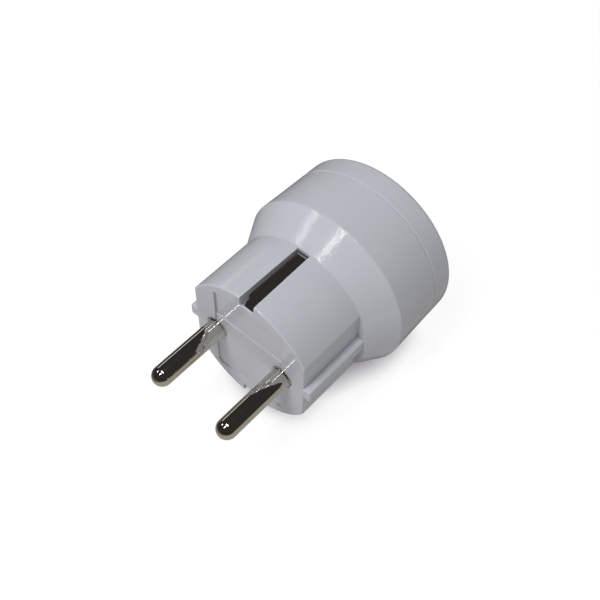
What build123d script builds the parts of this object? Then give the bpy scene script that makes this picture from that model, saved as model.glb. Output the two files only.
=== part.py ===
from build123d import *
import os
from math import cos, radians, tan

# Plug adapter: a round moulded body with an earthed two-pin plug in front and a socket face behind.
# X runs from the left pin to the right pin, Y from the plug's face to the socket face, Z is up.
# The origin lies in the plug's face, halfway between the pins. All sizes are millimetres or degrees.

# Plug body
plug_diameter = 36.3
plug_draft_angle = 0.3
plug_length = 18.1
flat_span = 31.4
guide_rib_height = 1.9
guide_rib_width = 3.2
guide_rib_edge_radius = 0.45
plug_edge_radius = 0.4
front_wall = 4.0
plug_wall = 2.4

# Recessed panel in the plug's face: a shallow lower field and a deeper upper field
panel_width = 19.4
panel_top = 13.3
panel_bottom = 13.4
panel_step_height = 5.0
panel_depth = 0.3
panel_step_depth = 0.3
panel_corner = 0.9

# Cone and head
cone_length = 7.4
head_diameter_front = 44.8
head_diameter_back = 43.8
body_length = 44.7
head_wall = 2.2
cone_root_radius = 0.5
cone_shoulder_radius = 0.8

# Socket cover
cover_height = 6.2
cover_face_thickness = 2.5
cover_edge_radius = 1.2
seam_chamfer = 0.25
lip_length = 4.0
lip_wall = 1.2
lip_clearance = 0.1
snap_bead = 0.25
snap_bead_width = 1.0
snap_setback = 2.4

# Socket holes: the centre hole is the earth, each outer hole takes a thick or a thin pin
thick_hole_diameter = 5.5
thin_hole_diameter = 4.5
thick_hole_spacing = 26.0
thin_hole_spacing = 19.0
hole_lead_in = 0.5

# Contact tower inside the cover
tower_wall = 1.2
tower_partition = 1.8
tower_clearance = 0.4
press_gap = 0.1

# Plug pins
pin_spacing = 19.0
pin_diameter = 4.8
pin_length = 19.0
pin_root_diameter = 5.2
pin_clearance = 0.05
pin_hole_chamfer = 0.35
pin_boss_diameter = 9.0
pin_boss_setback = 0.6
pin_collar_diameter = 8.0
pin_collar_thickness = 2.0
pin_tail_diameter = 3.0
pin_tail_clearance = 0.05
peened_head_diameter = 3.8
peened_head_height = 0.8

# Sheet contacts
contact_thickness = 0.6
contact_bend_radius = 0.6
contact_margin = 0.1
leaf_pinch_gap = 3.7
leaf_mouth_gap = 5.8
leaf_end_gap = 2.5
leaf_side_clearance = 0.4
leaf_neck_width = 5.6
leaf_neck_length = 4.6
earth_leaf_width = 6.4
earth_tab_length = 0.8

# Earth yoke: one bent strip with a leg in each channel and a bar across the inside
strip_width = 3.0
strip_thickness = 0.8
strip_depth = 1.0
strip_tip_width = 2.4
strip_tip_length = 2.4
strip_tip_angle = 45.0
strip_bend_radius = 1.2
nose_lip_thickness = 0.5
nose_lip_rise = 0.1
strip_clearance = 0.1
tunnel_clearance = 0.25
bar_gap = 0.4
channel_width_front = 3.9
channel_width_back = 3.4
channel_back_wall = 0.3
channel_floor_wall = 1.5

# Earth rivet and the web that carries the yoke's bar
web_thickness = 2.0
rivet_diameter = 2.5
rivet_clearance = 0.05
rivet_head_diameter = 3.8
rivet_head_height = 0.9
rivet_pocket_clearance = 0.4

# Places along Y that several pieces share
cone_end_y = plug_length + cone_length
seam_y = body_length - cover_height
face_inside_y = body_length - cover_face_thickness
channel_end_y = plug_length - channel_back_wall
boss_end_y = plug_length - pin_boss_setback
base_y = boss_end_y + pin_collar_thickness
base_back_y = base_y + contact_thickness
bar_y = base_back_y + bar_gap
bar_back_y = bar_y + strip_thickness
earth_base_back_y = bar_back_y + contact_thickness
leaf_end_y = face_inside_y - leaf_end_gap
neck_end_y = base_back_y + leaf_neck_length

# Places across the part that several pieces share
plug_radius = plug_diameter / 2
plug_radius_back = plug_radius + plug_length * tan(radians(plug_draft_angle))
flat_x = flat_span / 2
pin_x = pin_spacing / 2
collar_reach = pin_x + pin_collar_diameter / 2 + pin_clearance
cavity_x = max(flat_x - plug_wall, collar_reach)
cavity_radius = max(plug_radius - plug_wall, collar_reach)
thick_x = thick_hole_spacing / 2
thin_x = thin_hole_spacing / 2
strip_top_z = plug_radius - strip_depth
strip_bottom_z = strip_top_z - strip_thickness
channel_floor_z = strip_bottom_z - strip_clearance
cavity_z = channel_floor_z - channel_floor_wall
tip_y = nose_lip_thickness + strip_clearance
tip_slope = tan(radians(strip_tip_angle))
tip_z = strip_top_z - (strip_tip_length - tip_y) * tip_slope
leaf_inner_x = thin_x - thin_hole_diameter / 2 - leaf_side_clearance
leaf_outer_x = thick_x + thick_hole_diameter / 2
neck_inner_x = pin_x - leaf_neck_width / 2
neck_outer_x = pin_x + leaf_neck_width / 2
leaf_bend = contact_bend_radius + contact_thickness
leaf_flat_half = max(peened_head_diameter, rivet_head_diameter) / 2 + contact_margin
leaf_half_height = leaf_flat_half + leaf_bend
leaf_mouth_half = leaf_mouth_gap / 2 + contact_thickness
tower_room_half = max(leaf_half_height, leaf_mouth_half) + leaf_side_clearance
chamber_inner_x = min(leaf_inner_x, neck_inner_x) - leaf_side_clearance
chamber_outer_x = leaf_outer_x + leaf_side_clearance
neck_chamber_x = neck_outer_x + leaf_side_clearance
far_reach = 2 * body_length


def head_radius(y):
    """Outer radius of the drafted head at a place along Y."""
    share = (y - cone_end_y) / (body_length - cone_end_y)
    return (head_diameter_front + (head_diameter_back - head_diameter_front) * share) / 2


def cylinder_y(radius, start, end, x=0.0, z=0.0):
    """Round bar along Y."""
    return Pos(x, start, z) * Rot(-90, 0, 0) * Cylinder(
        radius, end - start, align=(Align.CENTER, Align.CENTER, Align.MIN)
    )


def box_between(low, high):
    """Box from its lowest corner to its highest corner."""
    size = [b - a for a, b in zip(low, high)]
    return Pos(*low) * Box(*size, align=(Align.MIN, Align.MIN, Align.MIN))


def profile_face(points, rounds=()):
    """Face in the XY plane from corner points, with the corners named in rounds filleted."""
    face = make_face(Polyline(*points, close=True))
    for corner, radius in rounds:
        face = fillet(face.vertices().sort_by_distance((*corner, 0))[0], radius)
    return face


def turned(points, rounds=()):
    """Body of revolution about Y; each point is (radius, y)."""
    return revolve(profile_face(points, rounds), axis=Axis.Y)


def both_sides(part, plane):
    """A shape together with its mirror image."""
    return part + mirror(part, about=plane)


# Radii of the joint between the housing and the cover
seam_radius = head_radius(seam_y)
rabbet_radius = seam_radius - lip_wall
cover_inner_radius = seam_radius - head_wall
cone_slope = (head_radius(cone_end_y) - plug_radius_back) / cone_length
cone_wall_radial = head_wall * (1 + cone_slope**2) ** 0.5


def inner_cone_radius(y):
    """Radius of the cone's inside, one wall in from the outside."""
    return plug_radius_back + cone_slope * (y - plug_length) - cone_wall_radial


def head_cavity(clearance):
    """Room inside the cone and the head, drawn in from the walls by a clearance."""
    start_y = plug_length
    start_radius = max(inner_cone_radius(start_y), collar_reach)
    return turned(
        [
            (0, start_y),
            (start_radius - clearance, start_y),
            (head_radius(cone_end_y) - head_wall - clearance, cone_end_y + head_wall * cone_slope / 2),
            (cover_inner_radius - clearance, seam_y),
            (cover_inner_radius - clearance, body_length),
            (0, body_length),
        ]
    )


def earth_channel():
    """Cut for the upper earth strip: open channel, pocket behind a lip at the face, tunnel into the head."""
    nose_y = strip_tip_length + (strip_top_z - channel_floor_z) * tan(radians(strip_tip_angle / 2))
    pocket_z = tip_z - strip_thickness * cos(radians(strip_tip_angle)) - strip_clearance
    lip_z = tip_z + nose_lip_rise
    side = Plane.YZ * profile_face(
        [
            (-strip_tip_length, lip_z),
            (nose_lip_thickness, lip_z),
            (nose_lip_thickness, pocket_z),
            (nose_y - (channel_floor_z - pocket_z) / tip_slope, pocket_z),
            (nose_y, channel_floor_z),
            (channel_end_y, channel_floor_z),
            (channel_end_y, far_reach),
            (-strip_tip_length, far_reach),
        ],
        rounds=[((nose_y, channel_floor_z), strip_bend_radius - strip_clearance)],
    )
    plan = profile_face(
        [
            (-channel_width_front / 2, -strip_tip_length),
            (-channel_width_front / 2, 0),
            (-channel_width_back / 2, channel_end_y),
            (channel_width_back / 2, channel_end_y),
            (channel_width_front / 2, 0),
            (channel_width_front / 2, -strip_tip_length),
        ]
    )
    channel = extrude(side, channel_width_front, both=True) & extrude(plan, far_reach)
    half_tunnel = strip_width / 2 + strip_clearance
    tunnel = box_between(
        (-half_tunnel, nose_y, channel_floor_z),
        (half_tunnel, bar_back_y + strip_clearance, strip_top_z + tunnel_clearance),
    )
    bend_room = box_between(
        (-half_tunnel, bar_y - strip_bend_radius - strip_clearance, channel_floor_z - strip_bend_radius),
        (half_tunnel, bar_back_y + strip_clearance, strip_top_z + tunnel_clearance),
    )
    return channel + tunnel + bend_room


def face_panel():
    """Shallow two-level recess in the plug's face."""
    half = panel_width / 2
    outline = Plane.XZ * Polyline(
        (-half, panel_top),
        (half, panel_top),
        (half, -panel_bottom + panel_corner),
        (half - panel_corner, -panel_bottom),
        (-half + panel_corner, -panel_bottom),
        (-half, -panel_bottom + panel_corner),
        close=True,
    )
    lower = extrude(make_face(outline), panel_depth, dir=(0, 1, 0))
    upper = box_between((-half, 0, panel_step_height), (half, panel_depth + panel_step_depth, panel_top))
    return lower + upper


def pin_hole():
    """Hole for the right pin's root, with its edge broken where it meets the face."""
    radius = pin_root_diameter / 2 + pin_clearance
    wide = radius + pin_hole_chamfer
    return Pos(pin_x, 0, 0) * turned(
        [
            (0, -front_wall),
            (wide, -front_wall),
            (wide, 0),
            (radius, pin_hole_chamfer),
            (radius, boss_end_y),
            (0, boss_end_y),
        ]
    )


def make_housing():
    """Plug body, cone and head skirt, moulded in one piece."""
    shell = turned(
        [
            (0, 0),
            (plug_radius, 0),
            (plug_radius_back, plug_length),
            (head_radius(cone_end_y), cone_end_y),
            (seam_radius, seam_y - seam_chamfer),
            (seam_radius - seam_chamfer, seam_y),
            (0, seam_y),
        ],
        rounds=[
            ((plug_radius_back, plug_length), cone_root_radius),
            ((head_radius(cone_end_y), cone_end_y), cone_shoulder_radius),
        ],
    )
    side_cut = box_between((flat_x, -plug_length, -plug_diameter), (plug_diameter, plug_length, plug_diameter))
    guide_rib = box_between(
        (0, -plug_length, -guide_rib_width / 2),
        (flat_x + guide_rib_height, plug_length, guide_rib_width / 2),
    )
    guide_rib = fillet(guide_rib.edges().filter_by(Axis.Y).group_by(Axis.X)[-1], guide_rib_edge_radius)
    shell -= both_sides(side_cut - guide_rib, Plane.YZ)
    flat_depth = plug_radius - flat_x
    edge_radius = min(plug_edge_radius, flat_depth / 2) if flat_depth > 0 else plug_edge_radius
    shell = fillet(shell.edges().group_by(Axis.Y)[0], edge_radius)

    cavity_outline = Rectangle(2 * cavity_x, 2 * cavity_z) & Circle(cavity_radius)
    plug_cavity = Pos(0, front_wall, 0) * extrude(Plane.XZ * cavity_outline, -(plug_length - front_wall))
    boss = cylinder_y(pin_boss_diameter / 2, 0, boss_end_y, x=pin_x)
    web = box_between((-web_thickness / 2, 0, -far_reach), (web_thickness / 2, bar_y, far_reach))
    rivet_room = rivet_head_diameter / 2 + rivet_pocket_clearance
    web -= box_between(
        (-web_thickness, bar_y - rivet_head_height - rivet_pocket_clearance, -rivet_room),
        (web_thickness, bar_y, rivet_room),
    )
    shell -= plug_cavity + head_cavity(0) - both_sides(boss, Plane.YZ) - web

    rabbet_start = seam_y - lip_length
    groove_y = seam_y - snap_setback
    groove_half = snap_bead_width / 2 + lip_clearance
    shell -= cylinder_y(rabbet_radius, rabbet_start, body_length)
    shell -= cylinder_y(rabbet_radius + snap_bead, groove_y - groove_half, groove_y + groove_half)
    shell -= both_sides(pin_hole(), Plane.YZ)
    shell -= both_sides(earth_channel(), Plane.XY)
    return shell - face_panel()


def line_hole():
    """Right outer socket hole: a thick round hole that runs into a thin one."""
    cut = cylinder_y(thick_hole_diameter / 2, face_inside_y, body_length, x=thick_x)
    return cut + cylinder_y(thin_hole_diameter / 2, face_inside_y, body_length, x=thin_x)


def lead_in(diameter, x):
    """Countersink that leads a pin into a socket hole."""
    wide = diameter / 2 + hole_lead_in
    return Pos(x, 0, 0) * turned(
        [(0, body_length - hole_lead_in - diameter / 2), (wide, body_length), (0, body_length)]
    )


def make_cover():
    """Rear cap with the socket face, a snap lip and the tower that houses and holds down the contacts."""
    cap = turned(
        [
            (0, face_inside_y),
            (cover_inner_radius, face_inside_y),
            (cover_inner_radius, seam_y - lip_length + lip_clearance),
            (rabbet_radius - lip_clearance, seam_y - lip_length + lip_clearance),
            (rabbet_radius - lip_clearance, seam_y),
            (seam_radius - seam_chamfer, seam_y),
            (seam_radius, seam_y + seam_chamfer),
            (head_diameter_back / 2, body_length),
            (0, body_length),
        ],
        rounds=[((head_diameter_back / 2, body_length), cover_edge_radius)],
    )
    bead_y = seam_y - snap_setback
    bead = cylinder_y(
        rabbet_radius - lip_clearance + snap_bead, bead_y - snap_bead_width / 2, bead_y + snap_bead_width / 2
    )
    cap += bead - cylinder_y(cover_inner_radius, 0, body_length)

    room_z = tower_room_half
    wall_z = room_z + tower_wall
    line_front = base_back_y + press_gap
    earth_front = earth_base_back_y + press_gap
    line_block = box_between(
        (chamber_inner_x - tower_partition, line_front, -wall_z),
        (neck_chamber_x + tower_wall, face_inside_y, wall_z),
    )
    line_block += box_between(
        (chamber_inner_x, neck_end_y, -wall_z),
        (chamber_outer_x + tower_wall, face_inside_y, wall_z),
    )
    line_room = box_between(
        (chamber_inner_x, line_front, -room_z), (neck_chamber_x, face_inside_y, room_z)
    )
    line_room += box_between(
        (chamber_inner_x, neck_end_y + tower_wall, -room_z), (chamber_outer_x, face_inside_y, room_z)
    )
    earth_half = chamber_inner_x - tower_partition
    earth_block = box_between((-earth_half, earth_front, -wall_z), (earth_half, face_inside_y, wall_z))
    earth_room = box_between((-earth_half, earth_front, -room_z), (earth_half, face_inside_y, room_z))
    tower = both_sides(line_block - line_room, Plane.YZ) + (earth_block - earth_room)
    cap += tower & head_cavity(tower_clearance)

    cap -= cylinder_y(thick_hole_diameter / 2, face_inside_y, body_length)
    cap -= lead_in(thick_hole_diameter, 0)
    outer_holes = line_hole() + lead_in(thick_hole_diameter, thick_x) + lead_in(thin_hole_diameter, thin_x)
    return cap - both_sides(outer_holes, Plane.YZ)


def dome(base_radius, height, start, direction):
    """Half outline of a round head: its arc from the rim to the axis. direction is +1 or -1 along Y."""
    sphere = (base_radius**2 + height**2) / (2 * height)
    centre = start + direction * (height - sphere)
    half_rise = direction * (sphere**2 - (base_radius / 2) ** 2) ** 0.5
    return ThreePointArc(
        (base_radius, start), (base_radius / 2, centre + half_rise), (0, start + direction * height)
    )


def make_pin():
    """Right plug pin: round nose, root in the boss, collar behind it and a tail peened over the contact."""
    radius = pin_diameter / 2
    root = pin_root_diameter / 2
    collar = pin_collar_diameter / 2
    tail = pin_tail_diameter / 2
    head = peened_head_diameter / 2
    nose_start = radius - pin_length
    outline = dome(radius, radius, nose_start, -1)
    outline += Polyline(
        (radius, nose_start),
        (radius, 0),
        (root, 0),
        (root, boss_end_y),
        (collar, boss_end_y),
        (collar, base_y),
        (tail, base_y),
        (tail, base_back_y),
        (head, base_back_y),
    )
    outline += dome(head, peened_head_height, base_back_y, 1)
    outline += Line((0, base_back_y + peened_head_height), (0, -pin_length))
    return Pos(pin_x, 0, 0) * revolve(make_face(outline), axis=Axis.Y)


def bent_leaves(start_y):
    """Side view of a contact: a base across Y and two leaves that pinch the pin and flare at the mouth."""
    half = leaf_half_height
    pinch = leaf_pinch_gap / 2 + contact_thickness
    mouth = leaf_mouth_half
    straight_end = start_y + contact_thickness + leaf_neck_length
    sprung_length = leaf_end_y - straight_end
    pinch_y = leaf_end_y - sprung_length / 3
    sweep = sprung_length / 3
    path = FilletPolyline(
        (mouth, leaf_end_y),
        (pinch, pinch_y),
        (half, straight_end),
        (half, start_y),
        (-half, start_y),
        (-half, straight_end),
        (-pinch, pinch_y),
        (-mouth, leaf_end_y),
        radius=[sweep, sweep, leaf_bend, leaf_bend, sweep, sweep],
    )
    return make_face(offset(path, contact_thickness, side=Side.RIGHT, closed=True))


def make_line_contact():
    """Right line contact: bent sheet on the pin's tail, with leaves wide enough for both pin places."""
    upright = Plane((0, 0, 0), x_dir=(0, 0, 1), z_dir=(-1, 0, 0))
    sheet = extrude(upright * bent_leaves(base_y), far_reach, both=True)
    wide_y = neck_end_y + tower_wall + leaf_side_clearance
    neck = box_between((neck_inner_x, 0, -far_reach), (neck_outer_x, wide_y, far_reach))
    leaf = box_between((leaf_inner_x, wide_y, -far_reach), (leaf_outer_x, far_reach, far_reach))
    half_base = pin_collar_diameter / 2 + contact_margin
    base = box_between(
        (pin_x - half_base, base_y, -leaf_flat_half), (pin_x + half_base, base_back_y, leaf_flat_half)
    )
    hole = cylinder_y(pin_tail_diameter / 2 + pin_tail_clearance, 0, far_reach, x=pin_x)
    return (sheet & (neck + leaf)) + base - hole


def make_earth_yoke():
    """Earth strip bent to a U: a sloped tip and a leg in each channel, and a bar with an eye across the web."""
    bend = strip_bend_radius + strip_thickness
    path = FilletPolyline(
        (tip_y, tip_z),
        (strip_tip_length, strip_top_z),
        (bar_back_y, strip_top_z),
        (bar_back_y, -strip_top_z),
        (strip_tip_length, -strip_top_z),
        (tip_y, -tip_z),
        radius=[bend, bend, bend, bend],
    )
    side = make_face(offset(path, strip_thickness, side=Side.RIGHT, closed=True))
    half = strip_width / 2
    half_tip = strip_tip_width / 2
    plan = profile_face(
        [
            (-half, far_reach),
            (-half, strip_tip_length),
            (-half_tip, tip_y),
            (-half_tip, -strip_tip_length),
            (half_tip, -strip_tip_length),
            (half_tip, tip_y),
            (half, strip_tip_length),
            (half, far_reach),
        ]
    )
    yoke = extrude(Plane.YZ * side, far_reach, both=True) & extrude(plan, far_reach, both=True)
    yoke += cylinder_y(leaf_flat_half, bar_y, bar_back_y)
    return yoke - cylinder_y(rivet_diameter / 2 + rivet_clearance, 0, far_reach)


def make_earth_contact():
    """Earth contact: bent sheet riveted on the yoke's bar, with a leaf on each side of the centre hole."""
    half_base = tower_room_half + earth_tab_length
    sheet = extrude(bent_leaves(bar_back_y), earth_leaf_width / 2, both=True)
    base = box_between(
        (-leaf_flat_half, bar_back_y, -half_base), (leaf_flat_half, earth_base_back_y, half_base)
    )
    return sheet + base - cylinder_y(rivet_diameter / 2 + rivet_clearance, 0, far_reach)


def make_earth_rivet():
    """Rivet through the earth contact and the yoke's bar, with a round head on each side."""
    shank = rivet_diameter / 2
    head = rivet_head_diameter / 2
    outline = dome(head, rivet_head_height, bar_y, -1)
    outline += Polyline(
        (head, bar_y), (shank, bar_y), (shank, earth_base_back_y), (head, earth_base_back_y)
    )
    outline += dome(head, rivet_head_height, earth_base_back_y, 1)
    outline += Line((0, earth_base_back_y + rivet_head_height), (0, bar_y - rivet_head_height))
    return revolve(make_face(outline), axis=Axis.Y)


right_pin = make_pin()
right_contact = make_line_contact()
pieces = {
    "plug_housing": make_housing(),
    "pin_right": right_pin,
    "pin_left": mirror(right_pin, about=Plane.YZ),
    "line_contact_right": right_contact,
    "line_contact_left": mirror(right_contact, about=Plane.YZ),
    "earth_yoke": make_earth_yoke(),
    "earth_contact": make_earth_contact(),
    "earth_rivet": make_earth_rivet(),
    "socket_cover": make_cover(),
}

os.makedirs("parts", exist_ok=True)
for name, piece in pieces.items():
    export_step(piece, f"parts/{name}.step")
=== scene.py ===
import math

import bmesh
import bpy
from mathutils import Matrix, Vector


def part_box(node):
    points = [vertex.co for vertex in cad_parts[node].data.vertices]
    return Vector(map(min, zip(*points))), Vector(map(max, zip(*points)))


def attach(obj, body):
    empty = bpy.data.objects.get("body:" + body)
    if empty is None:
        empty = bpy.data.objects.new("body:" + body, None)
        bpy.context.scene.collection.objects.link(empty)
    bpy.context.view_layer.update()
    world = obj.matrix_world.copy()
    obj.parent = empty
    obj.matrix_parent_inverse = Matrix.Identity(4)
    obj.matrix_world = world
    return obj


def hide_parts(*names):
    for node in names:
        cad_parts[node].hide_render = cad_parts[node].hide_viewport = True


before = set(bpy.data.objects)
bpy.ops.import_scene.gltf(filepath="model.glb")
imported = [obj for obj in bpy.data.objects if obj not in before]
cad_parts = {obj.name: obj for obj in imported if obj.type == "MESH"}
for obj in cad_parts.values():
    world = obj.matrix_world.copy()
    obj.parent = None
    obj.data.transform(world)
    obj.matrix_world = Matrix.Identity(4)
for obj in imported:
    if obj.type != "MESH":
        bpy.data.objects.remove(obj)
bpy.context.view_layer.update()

# Plug housing: plug body, cone and head skirt in one injection moulding of light grey plastic.
# The mould's sides are spark eroded to a fine grain, and the plug's face is polished.
# Everything else is pushed into it from behind.
plastic_dark = (0.548, 0.556, 0.600, 1.0)
plastic_light = (0.588, 0.596, 0.640, 1.0)
plug_face_start = 0.0010
plug_face_end = 0.0007
grain_scale = 1700.0
grain_depth = 0.00006
edge_softness = 0.00010


def moulded_plastic(name, satin_y, polished_y):
    """Moulded grey plastic: grained from satin_y on, polished at polished_y."""
    material = bpy.data.materials.new(name)
    material.use_nodes = True
    nodes = material.node_tree.nodes
    links = material.node_tree.links
    shader = nodes["Principled BSDF"]
    shader.inputs["IOR"].default_value = 1.49
    place = nodes.new("ShaderNodeTexCoord")

    cloud = nodes.new("ShaderNodeTexNoise")
    cloud.inputs["Scale"].default_value = 110.0
    cloud.inputs["Detail"].default_value = 4.0
    links.new(place.outputs["Object"], cloud.inputs["Vector"])
    tint = nodes.new("ShaderNodeMix")
    tint.data_type = "RGBA"
    tint.inputs[6].default_value = plastic_dark
    tint.inputs[7].default_value = plastic_light
    links.new(cloud.outputs["Fac"], tint.inputs[0])
    links.new(tint.outputs[2], shader.inputs["Base Color"])

    along = nodes.new("ShaderNodeSeparateXYZ")
    links.new(place.outputs["Object"], along.inputs["Vector"])
    satin = nodes.new("ShaderNodeMapRange")
    satin.inputs["From Min"].default_value = polished_y
    satin.inputs["From Max"].default_value = satin_y
    links.new(along.outputs["Y"], satin.inputs["Value"])

    grain = nodes.new("ShaderNodeTexNoise")
    grain.inputs["Scale"].default_value = grain_scale
    grain.inputs["Detail"].default_value = 2.0
    links.new(place.outputs["Object"], grain.inputs["Vector"])
    depth = nodes.new("ShaderNodeMapRange")
    depth.inputs["To Min"].default_value = 0.04
    depth.inputs["To Max"].default_value = 0.80
    links.new(satin.outputs["Result"], depth.inputs["Value"])
    rounded = nodes.new("ShaderNodeBevel")
    rounded.samples = 6
    rounded.inputs["Radius"].default_value = edge_softness
    dents = nodes.new("ShaderNodeBump")
    dents.inputs["Distance"].default_value = grain_depth
    links.new(rounded.outputs["Normal"], dents.inputs["Normal"])
    links.new(depth.outputs["Result"], dents.inputs["Strength"])
    links.new(grain.outputs["Fac"], dents.inputs["Height"])
    links.new(dents.outputs["Normal"], shader.inputs["Normal"])

    gloss = nodes.new("ShaderNodeMapRange")
    gloss.inputs["To Min"].default_value = 0.09
    gloss.inputs["To Max"].default_value = 0.10
    links.new(satin.outputs["Result"], gloss.inputs["Value"])
    links.new(gloss.outputs["Result"], shader.inputs["Roughness"])
    return material


def dress(node, material):
    """Puts one material on a node of the frame."""
    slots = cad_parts[node].data.materials
    slots.clear()
    slots.append(material)


dress("plug_housing", moulded_plastic("housing_plastic", plug_face_start, plug_face_end))

# Plug pins: turned brass, bright nickel plated, with a round nose and a root that fills its hole.
# Each is pressed in from behind until its collar seats on the boss.
# Its tail is peened over the line contact.
pin_x = 0.0095
pin_nose_y = -0.019
pin_radius = 0.0024
root_radius = 0.0026
collar_y = 0.0175
collar_back_y = 0.0195
collar_radius = 0.0040
tail_radius = 0.0015
peened_y = 0.0201
peened_rim_y = 0.0205
peened_top_y = 0.0209
peened_radius = 0.0019
nose_segments = 16
turn_steps = 96
nickel_colour = (0.66, 0.63, 0.57, 1.0)


def bright_nickel(name):
    """Bright nickel plate with a faint polishing haze."""
    material = bpy.data.materials.new(name)
    material.use_nodes = True
    nodes = material.node_tree.nodes
    links = material.node_tree.links
    shader = nodes["Principled BSDF"]
    shader.inputs["Metallic"].default_value = 1.0
    shader.inputs["Base Color"].default_value = nickel_colour
    place = nodes.new("ShaderNodeTexCoord")
    haze = nodes.new("ShaderNodeTexNoise")
    haze.inputs["Scale"].default_value = 900.0
    haze.inputs["Detail"].default_value = 5.0
    links.new(place.outputs["Object"], haze.inputs["Vector"])
    gloss = nodes.new("ShaderNodeMapRange")
    gloss.inputs["To Min"].default_value = 0.03
    gloss.inputs["To Max"].default_value = 0.10
    links.new(haze.outputs["Fac"], gloss.inputs["Value"])
    links.new(gloss.outputs["Result"], shader.inputs["Roughness"])
    return material


nickel = bright_nickel("bright_nickel")


def turned_pin(name, node, x):
    """Pin spun from its half outline: nose, shank, root, collar, tail and peened head."""
    outline = [
        (0.0, pin_nose_y),
        (pin_radius, pin_nose_y),
        (pin_radius, 0.0),
        (root_radius, 0.0),
        (root_radius, collar_y),
        (collar_radius, collar_y),
        (collar_radius, collar_back_y),
        (tail_radius, collar_back_y),
        (tail_radius, peened_y),
        (peened_radius, peened_y),
        (peened_radius, peened_rim_y),
        (0.0, peened_top_y),
    ]
    shape = bmesh.new()
    corners = [shape.verts.new((x + radius, y, 0.0)) for radius, y in outline]
    for first, second in zip(corners, corners[1:]):
        shape.edges.new((first, second))
    bmesh.ops.bevel(
        shape,
        geom=[corners[1]],
        offset=pin_radius,
        offset_type="OFFSET",
        affect="VERTICES",
        segments=nose_segments,
        profile=0.5,
        material=-1,
    )
    bmesh.ops.remove_doubles(shape, verts=shape.verts, dist=0.00001)
    bmesh.ops.spin(
        shape,
        geom=shape.verts[:] + shape.edges[:],
        cent=(x, 0.0, 0.0),
        axis=(0.0, 1.0, 0.0),
        angle=math.tau,
        steps=turn_steps,
        use_merge=True,
    )
    bmesh.ops.remove_doubles(shape, verts=shape.verts, dist=0.000001)
    bmesh.ops.recalc_face_normals(shape, faces=shape.faces)
    for face in shape.faces:
        face.smooth = True
    mesh = bpy.data.meshes.new(name)
    shape.to_mesh(mesh)
    shape.free()
    mesh.set_sharp_from_angle(angle=math.radians(35))
    mesh.materials.append(nickel)
    pin = bpy.data.objects.new(name, mesh)
    bpy.context.scene.collection.objects.link(pin)
    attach(pin, "root")
    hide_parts(node)


turned_pin("right_turned_pin", "pin_right", pin_x)
turned_pin("left_turned_pin", "pin_left", -pin_x)

# Earth yoke: a nickel-plated strip, stamped and bent to a U.
# A leg lies in each channel of the plug body, with its tip bent down behind the face.
dress("earth_yoke", nickel)

# Contacts and rivet: brass sheet, stamped, bent and left bare, with rolling marks along the leaves.
# The line contacts sit on the pins' tails, and the rivet holds the earth contact on the yoke's bar.
brass_colour = (0.72, 0.52, 0.24, 1.0)
brass_dull = (0.60, 0.41, 0.18, 1.0)


def rolled_brass(name):
    """Bare rolled brass with faint tarnish and marks along the rolling direction."""
    material = bpy.data.materials.new(name)
    material.use_nodes = True
    nodes = material.node_tree.nodes
    links = material.node_tree.links
    shader = nodes["Principled BSDF"]
    shader.inputs["Metallic"].default_value = 1.0
    place = nodes.new("ShaderNodeTexCoord")
    stretch = nodes.new("ShaderNodeMapping")
    stretch.inputs["Scale"].default_value = (1.0, 0.06, 1.0)
    links.new(place.outputs["Object"], stretch.inputs["Vector"])
    marks = nodes.new("ShaderNodeTexNoise")
    marks.inputs["Scale"].default_value = 2600.0
    marks.inputs["Detail"].default_value = 3.0
    links.new(stretch.outputs["Vector"], marks.inputs["Vector"])
    tarnish = nodes.new("ShaderNodeTexNoise")
    tarnish.inputs["Scale"].default_value = 260.0
    tarnish.inputs["Detail"].default_value = 4.0
    links.new(place.outputs["Object"], tarnish.inputs["Vector"])
    tint = nodes.new("ShaderNodeMix")
    tint.data_type = "RGBA"
    tint.inputs[6].default_value = brass_dull
    tint.inputs[7].default_value = brass_colour
    links.new(tarnish.outputs["Fac"], tint.inputs[0])
    links.new(tint.outputs[2], shader.inputs["Base Color"])
    gloss = nodes.new("ShaderNodeMapRange")
    gloss.inputs["To Min"].default_value = 0.18
    gloss.inputs["To Max"].default_value = 0.34
    links.new(marks.outputs["Fac"], gloss.inputs["Value"])
    links.new(gloss.outputs["Result"], shader.inputs["Roughness"])
    return material


brass = rolled_brass("rolled_brass")
for contact in ("line_contact_right", "line_contact_left", "earth_contact", "earth_rivet"):
    dress(contact, brass)

# Socket cover: the rear cap with the socket face, moulded in the same grey plastic.
# Its lip snaps into the head, and its tower presses the contacts home.
# The face has the same polish as the plug's.
socket_face_start = 0.0443
socket_face_end = 0.0446
dress("socket_cover", moulded_plastic("cover_plastic", socket_face_start, socket_face_end))

# Floor: a pale sheet that the head lies on; it glows evenly and takes the lamps too.
# White all round, with a painted shadow: the glow turns cool grey where the adapter is close above.
floor_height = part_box("plug_housing")[0].z
floor_radius = 1.2
floor_glow = 0.90
floor_bounce = 0.54
floor_grey = (0.16, 0.16, 0.16, 1.0)
floor_white = (1.0, 1.0, 1.0, 1.0)
painted_shadow_grey = (0.16, 0.13, 0.16, 1.0)
painted_shadow_reach = 0.010


def flat_disc(name, radius, height, material):
    """Round sheet at a height, as part of the stage."""
    shape = bmesh.new()
    bmesh.ops.create_circle(shape, cap_ends=True, radius=radius, segments=128)
    bmesh.ops.translate(shape, verts=shape.verts, vec=(0.0, 0.0, height))
    mesh = bpy.data.meshes.new(name)
    shape.to_mesh(mesh)
    shape.free()
    mesh.materials.append(material)
    disc = bpy.data.objects.new(name, mesh)
    bpy.context.scene.collection.objects.link(disc)
    return disc


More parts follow.
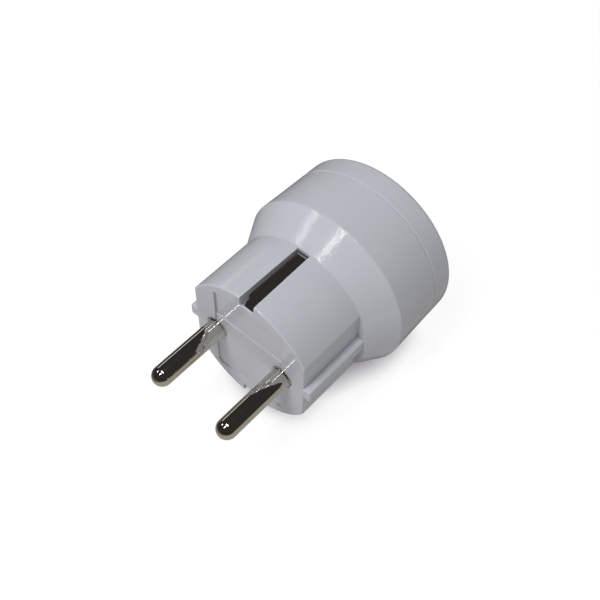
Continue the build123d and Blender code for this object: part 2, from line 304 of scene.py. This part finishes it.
floor_paper = bpy.data.materials.new("floor_paper")
floor_paper.use_nodes = True
floor_nodes = floor_paper.node_tree.nodes
floor_links = floor_paper.node_tree.links
floor_shader = floor_nodes["Principled BSDF"]
floor_shader.inputs["Base Color"].default_value = floor_grey
floor_shader.inputs["Roughness"].default_value = 1.0
floor_shader.inputs["Specular IOR Level"].default_value = 0.0
floor_ray = floor_nodes.new("ShaderNodeLightPath")
floor_seen = floor_nodes.new("ShaderNodeMath")
floor_seen.operation = "MAXIMUM"
floor_links.new(floor_ray.outputs["Is Camera Ray"], floor_seen.inputs[0])
floor_links.new(floor_ray.outputs["Is Glossy Ray"], floor_seen.inputs[1])
floor_shown = floor_nodes.new("ShaderNodeMath")
floor_shown.operation = "MAXIMUM"
floor_links.new(floor_seen.outputs["Value"], floor_shown.inputs[0])
floor_links.new(floor_ray.outputs["Is Transmission Ray"], floor_shown.inputs[1])
floor_level = floor_nodes.new("ShaderNodeMapRange")
floor_level.inputs["To Min"].default_value = floor_bounce
floor_level.inputs["To Max"].default_value = floor_glow
floor_links.new(floor_shown.outputs["Value"], floor_level.inputs["Value"])
floor_links.new(floor_level.outputs["Result"], floor_shader.inputs["Emission Strength"])
# Painted shadow: occlusion close under the adapter tints the floor's glow cool grey.
painted_shadow_occlusion = floor_nodes.new("ShaderNodeAmbientOcclusion")
painted_shadow_occlusion.samples = 16
painted_shadow_occlusion.inputs["Distance"].default_value = painted_shadow_reach
painted_shadow_tint = floor_nodes.new("ShaderNodeMix")
painted_shadow_tint.data_type = "RGBA"
painted_shadow_tint.inputs[6].default_value = painted_shadow_grey
painted_shadow_tint.inputs[7].default_value = floor_white
painted_shadow_mask = floor_nodes.new("ShaderNodeMapRange")
painted_shadow_mask.interpolation_type = "SMOOTHSTEP"
painted_shadow_mask.inputs["From Min"].default_value = 0.20
painted_shadow_mask.inputs["From Max"].default_value = 0.80
floor_links.new(painted_shadow_occlusion.outputs["AO"], painted_shadow_mask.inputs["Value"])
floor_links.new(painted_shadow_mask.outputs["Result"], painted_shadow_tint.inputs[0])
floor_links.new(painted_shadow_tint.outputs[2], floor_shader.inputs["Emission Color"])
flat_disc("floor", floor_radius, floor_height, floor_paper)

# Dark room: black cards all round and a grey one below, which show only in reflections.
# They stand in for the dark studio round a small lit sheet: painted darkness, black beyond a grey
# middle.
room_radius = 1.4
grey_sheet_radius = 0.10
grey_sheet_x = 0.055
grey_sheet_lift = 0.0002
sheet_grey = (0.50, 0.47, 0.41, 1.0)
painted_darkness_black = (0.10, 0.095, 0.09, 1.0)
painted_dark_card = bpy.data.materials.new("painted_dark_card")
painted_dark_card.use_nodes = True
card_nodes = painted_dark_card.node_tree.nodes
card_links = painted_dark_card.node_tree.links
card_shader = card_nodes["Principled BSDF"]
card_shader.inputs["Roughness"].default_value = 1.0
card_shader.inputs["Specular IOR Level"].default_value = 0.0
card_place = card_nodes.new("ShaderNodeTexCoord")
# Painted darkness: grey near the adapter, fading to black farther out.
card_reach = card_nodes.new("ShaderNodeVectorMath")
card_reach.operation = "DISTANCE"
card_reach.inputs[1].default_value = (grey_sheet_x, 0.0, 0.0)
card_links.new(card_place.outputs["Object"], card_reach.inputs[0])
painted_dark_fade = card_nodes.new("ShaderNodeMapRange")
painted_dark_fade.inputs["From Min"].default_value = grey_sheet_radius * 0.8
painted_dark_fade.inputs["From Max"].default_value = grey_sheet_radius * 1.2
card_links.new(card_reach.outputs["Value"], painted_dark_fade.inputs["Value"])
painted_dark_tint = card_nodes.new("ShaderNodeMix")
painted_dark_tint.data_type = "RGBA"
painted_dark_tint.inputs[6].default_value = sheet_grey
painted_dark_tint.inputs[7].default_value = painted_darkness_black
card_links.new(painted_dark_fade.outputs["Result"], painted_dark_tint.inputs[0])
card_links.new(painted_dark_tint.outputs[2], card_shader.inputs["Base Color"])


def only_mirrored(card):
    """Leaves a card to mirror rays alone."""
    card.visible_camera = False
    card.visible_diffuse = False
    card.visible_shadow = False


room_shape = bmesh.new()
bmesh.ops.create_icosphere(room_shape, subdivisions=5, radius=room_radius)
room_mesh = bpy.data.meshes.new("dark_room")
room_shape.to_mesh(room_mesh)
room_shape.free()
room_mesh.materials.append(painted_dark_card)
dark_room = bpy.data.objects.new("dark_room", room_mesh)
bpy.context.scene.collection.objects.link(dark_room)
only_mirrored(dark_room)
only_mirrored(flat_disc("grey_sheet", floor_radius, floor_height + grey_sheet_lift, painted_dark_card))

# Lamps: a soft panel above that no metal mirrors, and narrow strips that make the glints.
# Two strips streak the cone, one low on the left lines the pins, and one overhead the edges.
# A dim room fills in the rest, and is white only where it is seen.
body_middle = Vector((0.0, 0.015, 0.0))
lamp_distance = 0.6
room_tint = (0.93, 0.95, 1.0, 1.0)
room_fill = 0.20
backdrop_white = (1.0, 1.0, 1.0, 1.0)


def studio_lamp(name, direction, width, height, watts):
    """Rectangular lamp that faces the adapter."""
    data = bpy.data.lights.new(name, "AREA")
    data.shape = "RECTANGLE"
    data.size = width
    data.size_y = height
    data.energy = watts
    lamp = bpy.data.objects.new(name, data)
    towards = Vector(direction).normalized()
    lamp.location = body_middle + towards * lamp_distance
    lamp.rotation_mode = "QUATERNION"
    lamp.rotation_quaternion = towards.to_track_quat("Z", "Y")
    bpy.context.scene.collection.objects.link(lamp)
    return lamp


studio_lamp("top_strip", (-0.05, -0.41, 0.91), width=0.036, height=0.24, watts=0.44)
studio_lamp("side_strip", (-0.63, -0.29, 0.72), width=0.15, height=0.020, watts=0.16)
studio_lamp("left_strip", (-0.91, 0.30, 0.27), width=0.16, height=0.08, watts=0.045)
studio_lamp("roof_strip", (0.0, 0.07, 1.0), width=0.30, height=0.05, watts=0.52)
sky_panel = studio_lamp("sky_panel", (-0.06, -0.52, 0.85), width=0.25, height=0.25, watts=1.75)
sky_panel.visible_glossy = False

world = bpy.data.worlds.new("room")
bpy.context.scene.world = world
world.use_nodes = True
world_nodes = world.node_tree.nodes
world_links = world.node_tree.links
fill = world_nodes["Background"]
fill.inputs["Color"].default_value = room_tint
fill.inputs["Strength"].default_value = room_fill
backdrop = world_nodes.new("ShaderNodeBackground")
backdrop.inputs["Color"].default_value = backdrop_white
backdrop.inputs["Strength"].default_value = 1.0
world_ray = world_nodes.new("ShaderNodeLightPath")
seen = world_nodes.new("ShaderNodeMath")
seen.operation = "MAXIMUM"
world_links.new(world_ray.outputs["Is Camera Ray"], seen.inputs[0])
world_links.new(world_ray.outputs["Is Glossy Ray"], seen.inputs[1])
shown = world_nodes.new("ShaderNodeMath")
shown.operation = "MAXIMUM"
world_links.new(seen.outputs["Value"], shown.inputs[0])
world_links.new(world_ray.outputs["Is Transmission Ray"], shown.inputs[1])
either = world_nodes.new("ShaderNodeMixShader")
world_links.new(shown.outputs["Value"], either.inputs[0])
world_links.new(fill.outputs["Background"], either.inputs[1])
world_links.new(backdrop.outputs["Background"], either.inputs[2])
world_links.new(either.outputs["Shader"], world_nodes["World Output"].inputs["Surface"])

# Camera: above the front right of the plug, turned a little, as the photograph was taken.
camera_azimuth = math.radians(39.32)
camera_elevation = math.radians(53.60)
camera_roll = math.radians(2.18)
camera_distance = 0.2
picture_focal = 887.35
picture_size = 600
sensor = 36.0
aim_right = 0.00138
aim_up = 0.00232
back = Vector(
    (
        math.sin(camera_azimuth) * math.cos(camera_elevation),
        -math.cos(camera_azimuth) * math.cos(camera_elevation),
        math.sin(camera_elevation),
    )
)
level = Vector((0, 0, 1)).cross(back).normalized()
rise = back.cross(level)
right = math.cos(camera_roll) * level + math.sin(camera_roll) * rise
up = math.cos(camera_roll) * rise - math.sin(camera_roll) * level
camera_data = bpy.data.cameras.new("camera")
camera_data.sensor_width = sensor
camera_data.lens = sensor * picture_focal / picture_size
camera_data.clip_start = 0.01
camera = bpy.data.objects.new("camera", camera_data)
turn = Matrix((right, up, back)).transposed().to_4x4()
aim = body_middle + right * aim_right + up * aim_up
stand = Matrix.Translation(aim + back * camera_distance)
camera.matrix_world = stand @ turn
bpy.context.scene.collection.objects.link(camera)
bpy.context.scene.camera = camera
bpy.context.scene.view_settings.view_transform = "Standard"
